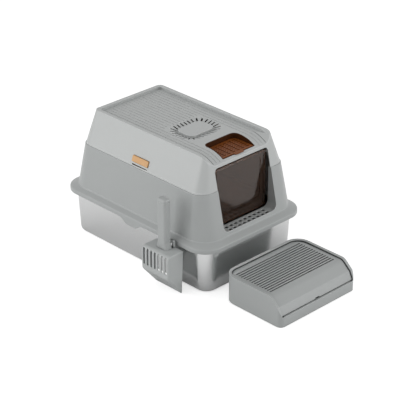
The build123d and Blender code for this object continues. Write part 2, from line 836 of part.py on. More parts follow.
with BuildPart() as flap:
    extrude(flap_face(flap_half, flap_bottom, flap_top, flap_corner, rod_y + flap_frame / 2), flap_frame)
    bead_y = rod_y + flap_frame / 2 + flap_bead_height
    bead_depth = flap_frame + 2 * flap_bead_height
    for inset, mode in ((flap_bead_inset, Mode.ADD), (flap_bead_inset + flap_bead_width, Mode.SUBTRACT)):
        low, high = flap_bottom + inset, flap_top - inset
        bead = flap_face(flap_half - inset, low, high, flap_corner - inset, bead_y)
        if mode == Mode.ADD:
            extrude(bead, bead_depth)
        else:
            for y in (bead_y, rod_y - flap_frame / 2):
                groove = flap_face(flap_half - inset, low, high, flap_corner - inset, y)
                extrude(groove, flap_bead_height, mode=mode)
    for y in (rod_y - flap_panel / 2, rod_y + flap_panel / 2 + flap_frame):
        pocket = flap_face(flap_clear_half, flap_clear_low, flap_clear_high, flap_corner, y)
        extrude(pocket, flap_frame, mode=Mode.SUBTRACT)
    with Locations((0, rod_y, rod_z)):
        Cylinder(flap_barrel_radius, 2 * flap_half, rotation=(0, 90, 0))
    with Locations((0, rod_y, flap_bottom + flap_frame_bottom - 8)):
        with GridLocations(flap_rib_pitch, 1, flap_rib_count, 1):
            Box(2.2, flap_frame + 2 * flap_rib_proud, flap_rib_height)
    with Locations((0, rod_y, rod_z)):
        Cylinder(flap_rod_radius + running_gap, 2 * flap_half + 2, rotation=(0, 90, 0), mode=Mode.SUBTRACT)
flap.part.label = "flap"

rod_half = web_x + bracket_web - 0.3
with BuildPart() as flap_rod:
    with Locations((0, rod_y, rod_z)):
        Cylinder(flap_rod_radius, 2 * rod_half, rotation=(0, 90, 0))
    chamfer(flap_rod.edges(), 0.4)
flap_rod.part.label = "flap_rod"


def rod_bracket(side):
    """An angle with a hole for the rod and two for screws."""
    height = bracket_high_z - bracket_low_z
    web_back_y = pad_rear_y + bracket_flange_wall
    with BuildPart() as bracket:
        with Locations((side * (web_x + bracket_web / 2), (web_front_y + web_back_y) / 2, screw_z)):
            Box(bracket_web, web_back_y - web_front_y, height)
        flange_x = side * (web_x + (bracket_web + pad_width) / 2)
        with Locations((flange_x, pad_rear_y + bracket_flange_wall / 2, screw_z)):
            Box(bracket_web + pad_width, bracket_flange_wall, height)
        with Locations((side * web_x, rod_y, rod_z)):
            Cylinder(flap_rod_radius + 0.05, 3 * bracket_web, rotation=(0, 90, 0), mode=Mode.SUBTRACT)
        for place in screw_places(pad_rear_y):
            with BuildSketch(place.offset(-1)):
                Circle(screw_radius + running_gap)
            extrude(amount=bracket_flange_wall + 2, mode=Mode.SUBTRACT)
    return bracket.part


rod_bracket_left = rod_bracket(-1)
rod_bracket_left.label = "rod_bracket_left"
rod_bracket_right = rod_bracket(1)
rod_bracket_right.label = "rod_bracket_right"

with BuildPart() as bracket_screws:
    for place in screw_places(pad_rear_y + bracket_flange_wall):
        with BuildSketch(place):
            Circle(screw_head_radius)
        extrude(amount=screw_head_height)
        with BuildSketch(place):
            Circle(screw_radius - 0.05)
        extrude(amount=-screw_length + 0.3)
        with BuildSketch(place.offset(screw_head_height - 0.8)):
            Rectangle(3.2, 0.8)
            Rectangle(0.8, 3.2)
        extrude(amount=1, mode=Mode.SUBTRACT)
bracket_screws.part.label = "bracket_screws"


def clip(side):
    """A rocking latch: a plate outside the lid, a neck round the pin and a leg inside the lid."""
    face = side_plane(side, clip_z)
    leg_out = clip_pin_depth + 1.0
    with BuildPart() as latch:
        with BuildSketch(face.offset(-2)):
            RectangleRounded(2 * clip_y_half, clip_length, 2.0)
        extrude(amount=clip_proud + 2)
        fillet(latch.faces().sort_by(Axis(face.origin, face.z_dir))[-1].edges(), clip_edge_round)
        with BuildSketch(face.offset(-2)):
            Rectangle(2 * clip_neck_half, 2 * clip_pin_radius + 3)
        extrude(amount=-(leg_out + 0.5))
        with BuildSketch(face.offset(-leg_out)):
            with Locations((0, (2 * clip_pin_radius - clip_leg_reach) / 2)):
                Rectangle(2 * clip_neck_half, clip_leg_reach + 2 * clip_pin_radius)
        extrude(amount=-2.5)
        with BuildSketch(face.offset(-leg_out - 2.5)):
            with Locations((0, -clip_leg_reach + 1.25)):
                Rectangle(2 * catch_half, 2.5)
        extrude(amount=-2)
        with Locations(face.from_local_coords(Vector(0, 0, -clip_pin_depth))):
            Cylinder(clip_pin_radius + running_gap, 4 * clip_y_half, rotation=(90, 0, 0), mode=Mode.SUBTRACT)
    return latch.part


def clip_pin(side):
    """The steel pin that one clip rocks on."""
    with BuildPart() as pin:
        with Locations(side_plane(side, clip_z).from_local_coords(Vector(0, 0, -clip_pin_depth))):
            Cylinder(clip_pin_radius, 2 * (clip_y_half + clip_ear_thickness + 0.7), rotation=(90, 0, 0))
    return pin.part


clip_left = clip(-1)
clip_left.label = "clip_left"
clip_right = clip(1)
clip_right.label = "clip_right"
clip_pin_left = clip_pin(-1)
clip_pin_left.label = "clip_pin_left"
clip_pin_right = clip_pin(1)
clip_pin_right.label = "clip_pin_right"

# Scoop
handle_inner_x = scoop_mouth_x - handle_setback
handle_x = handle_inner_x - handle_depth / 2
guide_top = lip_top + guide_top_over_lip
scoop_slot_low = scoop_fold_z + scoop_slot_above_fold
scoop_slot_high = scoop_top - scoop_slot_below_top
scoop_slot_pitch = (scoop_width - 2 * scoop_slot_side_margin) / (scoop_slot_count - 1)
scoop_fall_x = scoop_tip_x - scoop_back_x
scoop_fall_z = scoop_fold_z - scoop_tip_z
scoop_face_length = sqrt(scoop_fall_x ** 2 + scoop_fall_z ** 2)
sieve_inward = (scoop_fall_z / scoop_face_length, scoop_fall_x / scoop_face_length)
sieve_pitch_across = (scoop_width - 2 * sieve_margin_across) / (sieve_columns - 1)
sieve_pitch_along = (scoop_face_length - 2 * sieve_margin_along) / (sieve_rows - 1)


def scoop_body(inset, reach):
    """The scoop's outline in side view, moved inward by inset and its open side outward by reach."""
    back = scoop_back_x + inset
    roof = scoop_top - inset
    fall = scoop_fall_z / scoop_fall_x
    fold_z = scoop_fold_z + inset * (sieve_inward[1] + sieve_inward[0] * fall) - inset * fall
    mouth = scoop_mouth_x + reach
    tip = scoop_tip_x + reach
    with BuildPart() as body:
        with BuildSketch(Plane.XZ.offset(-scoop_y)) as outline:
            with BuildLine():
                tip_z = fold_z - (tip - back) * fall
                Polyline((back, roof), (mouth, roof), (tip, tip_z), (back, fold_z), close=True)
            make_face()
            rear = outline.vertices().group_by(Axis.X)[0]
            fillet(rear.sort_by(Axis.Y)[-1], scoop_edge_round - inset)
            fillet(outline.vertices().group_by(Axis.X)[0].sort_by(Axis.Y)[0], scoop_fold_round - inset)
        extrude(amount=scoop_width / 2 - inset, both=True)
        rims = body.faces().filter_by(Axis.Y).edges()
        closed = rims.filter_by(lambda edge: edge.center().X < mouth - reach / 2 - 6)
        fillet(closed, scoop_side_round - inset / 2)
    return body.part


sieve_plane = Plane(
    origin=((scoop_back_x + scoop_tip_x) / 2, scoop_y, (scoop_fold_z + scoop_tip_z) / 2),
    x_dir=(0, 1, 0),
    z_dir=(-sieve_inward[0], 0, -sieve_inward[1]),
)
with BuildPart() as scoop_basket:
    add(scoop_body(0, 0))
    add(scoop_body(scoop_wall, 20), mode=Mode.SUBTRACT)
    with BuildSketch(Plane.YZ.offset(scoop_back_x - 1)):
        with Locations((scoop_y, (scoop_slot_low + scoop_slot_high) / 2)):
            with GridLocations(scoop_slot_pitch, 1, scoop_slot_count, 1):
                SlotOverall(scoop_slot_high - scoop_slot_low, scoop_slot_width, rotation=90)
    extrude(amount=scoop_wall + 2, mode=Mode.SUBTRACT)
    for side in (-1, 1):
        with Locations((handle_x, scoop_y + side * handle_peg_spread, scoop_top)):
            Cylinder(handle_peg_radius + running_gap, 4 * scoop_wall, mode=Mode.SUBTRACT)
        guide_y = scoop_y + side * (handle_width + guide_width) / 2
        guide_z = (scoop_top + guide_top - scoop_wall) / 2
        with Locations((scoop_mouth_x - guide_width / 2, guide_y, guide_z)):
            Box(guide_width, guide_width, guide_top - scoop_top + scoop_wall)
    with BuildSketch(sieve_plane.offset(1)):
        with Locations((0, -2)):
            with GridLocations(sieve_pitch_across, sieve_pitch_along, sieve_columns, sieve_rows):
                Rectangle(sieve_hole_across, sieve_hole_along, rotation=45)
    extrude(amount=-(scoop_wall + 2), mode=Mode.SUBTRACT)
scoop_basket.part.label = "scoop_basket"


def handle_section(z, width, inset):
    """A rounded rectangle across the handle at height z, moved inward by inset."""
    with BuildSketch(Plane(origin=(handle_x, scoop_y, z))) as outline:
        RectangleRounded(handle_depth - 2 * inset, width - 2 * inset, handle_round - inset)
    return outline.sketch


flare_top = scoop_top + handle_flare_height
base_width = handle_width + 2 * handle_flare
with BuildPart() as scoop_handle:
    floor_top = scoop_top + handle_wall
    for inset, base, mode in ((0, scoop_top, Mode.ADD), (handle_wall, floor_top, Mode.SUBTRACT)):
        share = (base - scoop_top) / handle_flare_height
        low_width = base_width - share * (base_width - handle_width)
        loft(
            [handle_section(base, low_width, inset), handle_section(flare_top, handle_width, inset)],
            ruled=True, mode=mode,
        )
        extrude(handle_section(flare_top, handle_width, inset), handle_cap_z - flare_top, mode=mode)
    window_low = scoop_top + handle_wall + 0.2
    window_high = arm_top + part_gap
    with Locations((handle_inner_x - handle_wall / 2, scoop_y, (window_low + window_high) / 2)):
        Box(handle_wall + 1, 2 * handle_window_half, window_high - window_low, mode=Mode.SUBTRACT)
    for side in (-1, 1):
        with Locations((handle_x, scoop_y + side * handle_peg_spread, scoop_top - scoop_wall / 2)):
            Cylinder(handle_peg_radius, scoop_wall * 2)
scoop_handle.part.label = "scoop_handle"

with BuildPart() as scoop_end_cap:
    extrude(handle_section(handle_cap_z, handle_width, 0), handle_cap_height)
    fillet(scoop_end_cap.faces().sort_by(Axis.Z)[-1].edges(), handle_round - 1)
    chamfer(scoop_end_cap.faces().sort_by(Axis.Z)[0].edges(), 0.7)
    spigot = handle_section(handle_cap_z - cap_spigot, handle_width, handle_wall + running_gap)
    extrude(spigot, cap_spigot + 1)
scoop_end_cap.part.label = "scoop_end_cap"

# Hanger: a plate behind the lip, an arm through the notch and a finger inside the handle
plate_x = -lip_half_x + lip_wall
finger_x = handle_inner_x - handle_wall - 1.5
with BuildPart() as scoop_hanger:
    plate_low = lip_bottom + 0.8
    plate_high = lip_top - 2.0
    with Locations((plate_x + hanger_plate_wall / 2, scoop_y, (plate_low + plate_high) / 2)):
        Box(hanger_plate_wall, 2 * hanger_plate_half, plate_high - plate_low)
    arm_end = finger_x - hanger_finger
    with Locations(((plate_x + arm_end) / 2, scoop_y, arm_top - hanger_arm_thickness / 2)):
        Box(plate_x - arm_end + 1, 2 * hanger_arm_half, hanger_arm_thickness)
    with Locations((finger_x - hanger_finger / 2, scoop_y, arm_top + hanger_finger_rise / 2)):
        Box(hanger_finger, 2 * hanger_arm_half, hanger_finger_rise)
scoop_hanger.part.label = "scoop_hanger"

# Step: an open tray with a slotted lid that is sunk in its rim and runs down over the front
step_rear_y = -lip_half_y - step_rear_gap
step_front_y = step_rear_y - step_depth
step_mid_y = (step_rear_y + step_front_y) / 2
step_crease = Vector(step_front_y + step_crease_back, step_front_lip + step_crease_rise)
step_knee = Vector(step_crease.X + step_slope_run, step_height)


def step_plan(z, inset):
    """The step's footprint at height z, moved inward by inset."""
    with BuildSketch(Plane.XY.offset(z)) as plan:
        with Locations((step_centre_x, step_mid_y)):
            Rectangle(step_length - 2 * inset, step_depth - 2 * inset)
        fillet(plan.vertices().group_by(Axis.Y)[-1], step_rear_corner - inset)
        fillet(plan.vertices().group_by(Axis.Y)[0], step_front_corner - inset)
    return plan.sketch


def step_column(inset, low):
    """The footprint as an upright block from height low to above the step."""
    with BuildPart() as column:
        extrude(step_plan(low, inset), step_height + 10 - low)
    return column.part


def step_under(depth):
    """All that lies more than depth under the step's top and its two front slopes."""
    front_run = Vector(-step_crease_back, -step_crease_rise).normalized()
    slope_run = (step_crease - step_knee).normalized()
    down, slope_in, front_in = (Vector(-run.Y, run.X) for run in (Vector(-1, 0), slope_run, front_run))
    knee = step_knee + (down + slope_in) * (depth / (1 + down.dot(slope_in)))
    crease = step_crease + (slope_in + front_in) * (depth / (1 + slope_in.dot(front_in)))
    foot_y = crease.X - crease.Y * step_crease_back / step_crease_rise
    with BuildPart() as under:
        with BuildSketch(Plane.YZ.offset(step_centre_x - step_length)):
            with BuildLine():
                bend = FilletPolyline(
                    (step_rear_y + 20, 0), (step_rear_y + 20, knee.Y), (knee.X, knee.Y),
                    (crease.X, crease.Y), (foot_y, 0),
                    radius=[1.0, step_bend - depth, max(step_crease_round - depth, 1.0)],
                )
                Line(bend @ 1, bend @ 0)
            make_face()
        extrude(amount=2 * step_length)
    return under.part


step_half = step_length / 2
opening_half = step_half - step_rim
opening_rear_y = step_rear_y - step_rim
with BuildPart() as step_hollow:
    add(step_column(step_wall, foot_proud + step_wall))
    add(step_under(step_wall), mode=Mode.INTERSECT)

with BuildPart() as step_opening:
    with BuildSketch(Plane.XY.offset(step_front_lip)) as opening:
        with Locations((step_centre_x, (opening_rear_y + step_front_y - step_rim) / 2)):
            Rectangle(2 * opening_half, opening_rear_y - step_front_y + step_rim)
        fillet(opening.vertices().group_by(Axis.Y)[-1], step_rear_corner - step_rim)
    extrude(amount=step_height)

ledge_depth = step_sink + step_lid_wall + part_gap
with BuildPart() as step_ledge:
    add(step_column(step_wall / 2, step_front_lip + 6))
    add(step_under(ledge_depth), mode=Mode.INTERSECT)
    add(step_under(ledge_depth + step_ledge_wall), mode=Mode.SUBTRACT)
    add(step_column(step_wall + step_ledge_width, 0), mode=Mode.SUBTRACT)
    with Locations((step_centre_x, step_front_y, step_front_lip)):
        Box(2 * step_length, 2 * step_ledge_front_gap, 3 * step_height, mode=Mode.SUBTRACT)

foot_places = [
    (step_centre_x + side * (step_half - foot_inset), step_mid_y + end * (step_depth / 2 - foot_inset), 0)
    for side in (-1, 1)
    for end in (-1, 1)
]
with BuildPart() as step_tray:
    add(step_column(0, foot_proud))
    add(step_under(0), mode=Mode.INTERSECT)
    add(step_hollow.part, mode=Mode.SUBTRACT)
    add(step_opening.part, mode=Mode.SUBTRACT)
    add(step_ledge.part)
    with Locations((step_centre_x, step_front_y + step_rim / 2 + 0.5, step_front_lip - step_wall / 2)):
        Box(step_length - 2 * step_front_corner, step_rim - 1, step_wall)
    with Locations(*foot_places):
        Cylinder(foot_radius + running_gap, 2 * foot_height, mode=Mode.SUBTRACT)
step_tray.part.label = "step_tray"

lid_half = opening_half - step_groove
lid_rear_y = opening_rear_y - step_groove
slot_first_y = step_rear_y - step_slot_rear_gap
slot_last_y = step_front_y + step_slot_front_gap
slot_pitch = (slot_first_y - slot_last_y) / (step_slot_count - 1)
with BuildPart() as step_lid:
    add(step_column(0.8, step_front_lip + step_groove))
    add(step_under(step_sink), mode=Mode.INTERSECT)
    add(step_under(step_sink + step_lid_wall), mode=Mode.SUBTRACT)
    with BuildSketch(Plane.XY.offset(0)) as lid_plan:
        with Locations((step_centre_x, (lid_rear_y + step_front_y - step_rim) / 2)):
            Rectangle(2 * lid_half, lid_rear_y - step_front_y + step_rim)
        fillet(lid_plan.vertices().group_by(Axis.Y)[-1], step_rear_corner - step_rim - step_groove)
    extrude(amount=2 * step_height, mode=Mode.INTERSECT)
    with BuildSketch(Plane.XY.offset(step_height - step_sink - 2 * step_lid_wall)):
        with Locations((step_centre_x, (slot_first_y + slot_last_y) / 2)):
            with GridLocations(1, slot_pitch, 1, step_slot_count):
                SlotOverall(step_length - 2 * step_slot_side_gap, step_slot_width)
    extrude(amount=3 * step_lid_wall, mode=Mode.SUBTRACT)
    with BuildSketch(Plane.XZ.offset(-step_front_y + step_rim)):
        with Locations((step_centre_x, step_front_lip + step_groove)):
            RectangleRounded(2 * step_notch_half, 2 * step_notch_height, step_notch_height - 1)
    extrude(amount=-4 * step_rim, mode=Mode.SUBTRACT)
step_lid.part.label = "step_lid"

with BuildPart() as step_feet:
    with Locations(*foot_places):
        Cylinder(foot_radius, foot_height, align=(Align.CENTER, Align.CENTER, Align.MIN))
    chamfer(step_feet.faces().sort_by(Axis.Z)[0].edges(), 0.4)
step_feet.part.label = "step_feet"

pieces = [
    steel_pan.part, lower_cover.part, lid.part, hatch_well.part, roof_hatch.part, flap.part, flap_rod.part,
    rod_bracket_left, rod_bracket_right, bracket_screws.part, clip_left, clip_right, clip_pin_left,
    clip_pin_right, scoop_basket.part, scoop_handle.part, scoop_end_cap.part, scoop_hanger.part,
    step_tray.part, step_lid.part, step_feet.part,
]
os.makedirs("parts", exist_ok=True)
for piece in pieces:
    export_step(piece, f"parts/{piece.label}.step")
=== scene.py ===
import math

import bpy
from bpy.props import FloatProperty, FloatVectorProperty, PointerProperty
from bpy.types import Operator, Panel, PropertyGroup
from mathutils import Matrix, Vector

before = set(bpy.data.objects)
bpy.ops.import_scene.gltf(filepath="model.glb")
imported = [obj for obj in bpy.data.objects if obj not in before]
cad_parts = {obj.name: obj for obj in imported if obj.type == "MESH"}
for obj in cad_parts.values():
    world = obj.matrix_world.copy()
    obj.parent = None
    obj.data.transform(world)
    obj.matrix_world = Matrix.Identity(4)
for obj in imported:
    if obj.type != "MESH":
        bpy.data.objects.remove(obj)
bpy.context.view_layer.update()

bl_info = {
    "name": "Covered Litter Tray",
    "version": (1, 0, 0),
    "blender": (4, 5, 0),
    "location": "3D View > Sidebar > Litter Tray",
    "description": "Finishes, lamps, floor and camera for a covered litter tray",
    "category": "Object",
}


RAY_SAMPLES = 6  # rays per sample for rounded edges and for dim corners
EDGE_GAIN = 9.0  # how soon a bend counts as a sharp edge
PAINTED_SHADE_REACH = 0.009  # how far from a wall the painted shade of a seam, slot or hole reaches, in metres
SMALL_EDGE = 0.0008  # rounding of thin-walled and drawn pieces, in metres

FLOOR_DROP = 0.0004  # the floor lies this far under the feet, in metres
FLOOR_SHADE_REACH = 0.35  # near enough to a piece for the floor to carry painted shade in a mirror, in metres
LAMP_TARGET = (0.0, -0.1, 0.2)
SIDE_LAMP_PLACE = (-2.9, 1.2, 1.25)
SIDE_LAMP_SIZE = 3.0
FRONT_LAMP_PLACE = (1.3, -2.8, 1.3)
FRONT_LAMP_SIZE = 1.6


# Shader maths

class Value:
    """One socket of a material. Sums and products of values add their own Math nodes."""

    def __init__(self, paint, socket):
        self.paint = paint
        self.socket = socket

    def math(self, operation, first, second):
        return self.paint.add("ShaderNodeMath", {"operation": operation}, {0: first, 1: second})

    def __add__(self, other):
        return self.math("ADD", self, other)

    def __radd__(self, other):
        return self.math("ADD", other, self)

    def __sub__(self, other):
        return self.math("SUBTRACT", self, other)

    def __rsub__(self, other):
        return self.math("SUBTRACT", other, self)

    def __mul__(self, other):
        return self.math("MULTIPLY", self, other)

    def __rmul__(self, other):
        return self.math("MULTIPLY", other, self)

    def __abs__(self):
        return self.paint.add("ShaderNodeMath", {"operation": "ABSOLUTE"}, {0: self})

    def highest(self, other):
        return self.math("MAXIMUM", self, other)

    def lowest(self, other):
        return self.math("MINIMUM", self, other)


class Paint:
    """The node tree of one material or of the world."""

    def __init__(self, owner):
        owner.use_nodes = True
        self.owner = owner
        self.tree = owner.node_tree
        self.tree.nodes.clear()

    def add(self, kind, settings=None, sockets=None, output=None):
        """A node with its settings, then its socket values and links. Returns one of its outputs."""
        node = self.tree.nodes.new(kind)
        for name, value in (settings or {}).items():
            if name == "stops":
                self.set_stops(node.color_ramp, value)
            else:
                setattr(node, name, value)
        for name, value in (sockets or {}).items():
            socket = self.find(node.inputs, name)
            if isinstance(value, Value):
                self.tree.links.new(value.socket, socket)
            elif hasattr(socket.default_value, "__len__") and len(socket.default_value) == 4:
                socket.default_value = (*value[:3], 1.0)
            else:
                socket.default_value = value
        if not node.outputs:
            return None
        return Value(self, self.find(node.outputs, output if output is not None else 0))

    @staticmethod
    def find(sockets, name):
        """The usable socket with that name or number."""
        usable = [socket for socket in sockets if socket.enabled]
        if isinstance(name, int):
            return usable[name]
        return next(socket for socket in usable if socket.name == name)

    @staticmethod
    def set_stops(ramp, stops):
        while len(ramp.elements) < len(stops):
            ramp.elements.new(1.0)
        for element, (place, level) in zip(ramp.elements, stops):
            element.position = place
            element.color = (level, level, level, 1.0)

    def place(self):
        """A point on the piece in metres, which stays with the piece as it moves."""
        return self.add("ShaderNodeTexCoord", output="Object")

    def stretched(self, place, factors):
        return self.add("ShaderNodeVectorMath", {"operation": "MULTIPLY"}, {0: place, 1: factors})

    def noise(self, place, scale, detail=2.0, roughness=0.5):
        sockets = {"Vector": place, "Scale": scale, "Detail": detail, "Roughness": roughness}
        return self.add("ShaderNodeTexNoise", {}, sockets, "Fac")

    def ramp(self, value, *stops):
        return self.add("ShaderNodeValToRGB", {"stops": stops}, {"Fac": value}, "Color")

    def blend(self, factor, first, second):
        """A colour between two colours."""
        return self.add(
            "ShaderNodeMix", {"data_type": "RGBA", "clamp_factor": True},
            {"Factor": factor, "A": first, "B": second}, "Result"
        )

    def rounded_normal(self, radius):
        """Normals that turn smoothly over an edge, as on a moulded corner of that radius."""
        return self.add("ShaderNodeBevel", {"samples": RAY_SAMPLES}, {"Radius": radius}, "Normal")

    def edge_mask(self, rounded):
        """Near 1 along sharp edges and 0 on the faces between them."""
        straight = self.add("ShaderNodeNewGeometry", output="Normal")
        dot = {"operation": "DOT_PRODUCT"}
        agreement = self.add("ShaderNodeVectorMath", dot, {0: rounded, 1: straight}, "Value")
        return ((1.0 - agreement) * EDGE_GAIN).lowest(1.0)

    def shelter(self, reach):
        """Near 0 deep in a corner, seam or groove of that width, and 1 on open faces."""
        return self.add("ShaderNodeAmbientOcclusion", {"samples": RAY_SAMPLES}, {"Distance": reach}, "AO")

    def bump(self, height, distance, strength, normal=None):
        sockets = {"Height": height, "Distance": distance, "Strength": strength}
        if normal:
            sockets["Normal"] = normal
        return self.add("ShaderNodeBump", {}, sockets, "Normal")

    def finish(self, sockets):
        """Ends the tree in one principled surface."""
        surface = self.add("ShaderNodeBsdfPrincipled", {}, sockets, "BSDF")
        self.add("ShaderNodeOutputMaterial", {}, {"Surface": surface})
        return self.owner


def tinted(colour, level):
    """The colour made darker or lighter, never above white."""
    return tuple(min(1.0, channel * level) for channel in colour[:3])


# Finishes

def moulded_plastic(name, colour, sheen, edge_radius, dimmest=0.35, shut=0.12, open_from=0.5):
    """Satin moulded plastic with a fine spark-eroded grain, faint flow clouds and smoother edges that carry
    a painted highlight.

    Seams and slots carry painted shade: they are dimmest times the colour where less than shut of the air
    round them is free, and take on the full colour where open_from of it is.
    """
    paint = Paint(bpy.data.materials.new(name))
    place = paint.place()
    clouds = paint.noise(place, 7.0, 3.0)
    mottle = paint.noise(place, 160.0, 2.0)
    grain = paint.noise(place, 1500.0, 2.0, 0.65)
    rounded = paint.rounded_normal(edge_radius)
    edges = paint.edge_mask(rounded)
    tone = clouds * 0.5 + mottle * 0.2 + grain * 0.3
    body = paint.blend(tone, tinted(colour, 0.94), tinted(colour, 1.06))
    # Painted highlight: sharp edges are lightened towards 1.7 times the colour, unevenly along each edge.
    painted_edge_highlight = paint.blend(edges * (mottle * 0.5 + 0.55), body, tinted(colour, 1.7))
    # Painted shade: seams, slots and holes are darkened towards dimmest times the colour, by how little air
    # is free round them.
    free_of_painted_shade = paint.ramp(paint.shelter(PAINTED_SHADE_REACH), (shut, 0.0), (open_from, 1.0))
    roughness = sheen + clouds * 0.06 + grain * 0.08 - edges * 0.08
    return paint.finish({
        "Base Color": paint.blend(free_of_painted_shade, tinted(colour, dimmest), painted_edge_highlight),
        "Roughness": roughness,
        "Normal": paint.bump(grain, 0.00012, 0.35, rounded),
        "Specular IOR Level": 0.42,
    })


def drawn_steel(name, colour, sheen, edge_radius):
    """Bright drawn stainless steel with fine brush lines that run round the walls and along the floor."""
    paint = Paint(bpy.data.materials.new(name))
    place = paint.place()
    upright_lines = paint.noise(paint.stretched(place, (5.0, 5.0, 1100.0)), 1.0, 4.0, 0.6)
    flat_lines = paint.noise(paint.stretched(place, (1100.0, 5.0, 5.0)), 1.0, 4.0, 0.6)
    facing = paint.add("ShaderNodeTexCoord", output="Normal")
    up = paint.add("ShaderNodeSeparateXYZ", {}, {"Vector": facing}, "Z")
    level = (abs(up) * 2.0 - 0.6).highest(0.0).lowest(1.0)
    lines = upright_lines * (1.0 - level) + flat_lines * level
    smears = paint.noise(place, 11.0, 3.0)
    rounded = paint.rounded_normal(edge_radius)
    body = paint.blend(lines, tinted(colour, 0.96), tinted(colour, 1.03))
    roughness = sheen + lines * 0.05 + smears * 0.05
    return paint.finish({
        "Base Color": body,
        "Metallic": 1.0,
        "Roughness": roughness,
        "Normal": paint.bump(lines, 0.00002, 0.12, rounded),
    })


def turned_steel(name, colour, sheen):
    """Plain turned steel for pins, the rod and screws."""
    paint = Paint(bpy.data.materials.new(name))
    place = paint.place()
    rings = paint.noise(paint.stretched(place, (2600.0, 300.0, 300.0)), 1.0, 2.0)
    marks = paint.noise(place, 420.0, 3.0)
    body = paint.blend(rings * 0.6 + marks * 0.4, tinted(colour, 0.86), tinted(colour, 1.1))
    return paint.finish({
        "Base Color": body,
        "Metallic": 1.0,
        "Roughness": sheen + rings * 0.14,
        "Normal": paint.bump(rings, 0.00003, 0.3),
    })


def clear_plastic(name, colour, sheen, clearness, shine=0.5, dimmest=1.0):
    """Tinted see-through plastic with a faint flow pattern and hairline rubs, with painted shade deep in its
    holes.
    """
    paint = Paint(bpy.data.materials.new(name))
    place = paint.place()
    flow = paint.noise(paint.stretched(place, (22.0, 22.0, 7.0)), 1.0, 3.0)
    rubs = paint.noise(paint.stretched(place, (60.0, 60.0, 900.0)), 1.0, 3.0, 0.7)
    body = paint.blend(flow, tinted(colour, 0.9), tinted(colour, 1.1))
    # Painted shade: deep in holes the tint is darkened towards dimmest times itself.
    free_of_painted_shade = paint.ramp(paint.shelter(PAINTED_SHADE_REACH), (0.15, 0.0), (0.75, 1.0))
    return paint.finish({
        "Base Color": paint.blend(free_of_painted_shade, tinted(colour, dimmest), body),
        "Roughness": sheen + rubs * 0.05 + flow * 0.03,
        "Transmission Weight": clearness,
        "IOR": 1.49,
        "Specular IOR Level": shine,
        "Normal": paint.bump(flow, 0.0002, 0.1),
    })


def matt_rubber(name, colour):
    """Matt rubber with a dusty, slightly lighter skin."""
    paint = Paint(bpy.data.materials.new(name))
    place = paint.place()
    dust = paint.noise(place, 240.0, 4.0, 0.6)
    pores = paint.noise(place, 2400.0, 2.0)
    body = paint.blend(dust, colour[:3], tinted(colour, 2.0))
    return paint.finish({
        "Base Color": body,
        "Roughness": 0.72 + pores * 0.16,
        "Normal": paint.bump(pores, 0.0001, 0.4),
    })


def dress(material, *nodes):
    """Puts one finish on whole pieces of the frame."""
    for node in nodes:
        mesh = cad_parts[node].data
        mesh.materials.clear()
        mesh.materials.append(material)


# What a user may change

def shade(name, description, default):
    return FloatVectorProperty(
        name=name, description=description, default=default, size=3, subtype="COLOR", min=0.0, max=1.0
    )


class TrayFinish(PropertyGroup):
    """Colours and surface qualities of the pieces."""
    cover_colour: shade("Cover", "Colour of the lower cover, the scoop and the step", (0.385, 0.4, 0.397))
    lid_colour: shade("Lid", "Colour of the lid", (0.49, 0.505, 0.5))
    steel_colour: shade("Steel", "Colour of the pan", (0.69, 0.695, 0.695))
    clip_colour: shade("Clips", "Colour of the side clips", (0.64, 0.37, 0.165))
    smoke_colour: shade("Flap", "Tint of the swing flap", (0.24, 0.13, 0.078))
    amber_colour: shade("Hatch", "Tint of the roof hatch", (0.25, 0.07, 0.012))
    pin_colour: shade("Pins", "Colour of the rod, the pins and the screws", (0.5, 0.5, 0.51))
    rubber_colour: shade("Feet", "Colour of the step's feet", (0.02, 0.02, 0.021))
    plastic_roughness: FloatProperty(
        name="Plastic roughness", description="Lowest roughness of the grey plastic", default=0.26,
        min=0.1, max=0.9
    )
    steel_roughness: FloatProperty(
        name="Steel roughness", description="Lowest roughness of the pan", default=0.12, min=0.02, max=0.8
    )
    edge_radius: FloatProperty(
        name="Edge rounding", description="How round the moulded edges look", default=0.0022,
        min=0.0002, max=0.004, unit="LENGTH", precision=4
    )


class TrayStage(PropertyGroup):
    """The floor, the lamps and the camera."""
    floor_size: FloatProperty(
        name="Floor", description="Width of the floor", default=30.0, min=4.0, max=100.0, unit="LENGTH"
    )
    ambient: FloatProperty(
        name="Ambient", description="Even light from all round", default=0.46, min=0.0, max=2.0
    )
    side_power: FloatProperty(
        name="Side lamp", description="Power of the lamp on the scoop's side, in watts", default=57.0,
        min=0.0
    )
    front_power: FloatProperty(
        name="Front lamp", description="Power of the lamp in front, in watts", default=36.0,
        min=0.0
    )
    camera_azimuth: FloatProperty(
        name="Azimuth", description="Where the camera stands round the tray, from the front",
        default=math.radians(-44.2), subtype="ANGLE"
    )
    camera_elevation: FloatProperty(
        name="Elevation", description="How high the camera stands", default=math.radians(27.4),
        subtype="ANGLE"
    )
    camera_distance: FloatProperty(
        name="Distance", description="From the camera to its target", default=4.7002, min=0.5, unit="LENGTH"
    )
    camera_lens: FloatProperty(
        name="Lens", description="Focal length in millimetres", default=148.5, min=10.0
    )
    camera_target: FloatVectorProperty(
        name="Target", description="The point that the camera looks at", default=(0.0013, -0.0721, 0.1592),
        size=3, subtype="TRANSLATION"
    )


# Pieces

class TRAY_OT_pan(Operator):
    """Finish the steel pan"""
    bl_idname = "tray.pan"
    bl_label = "Steel Pan"

    def execute(self, context):
        look = context.scene.tray_finish
        dress(drawn_steel("steel", look.steel_colour, look.steel_roughness, SMALL_EDGE), "steel_pan")
        return {"FINISHED"}


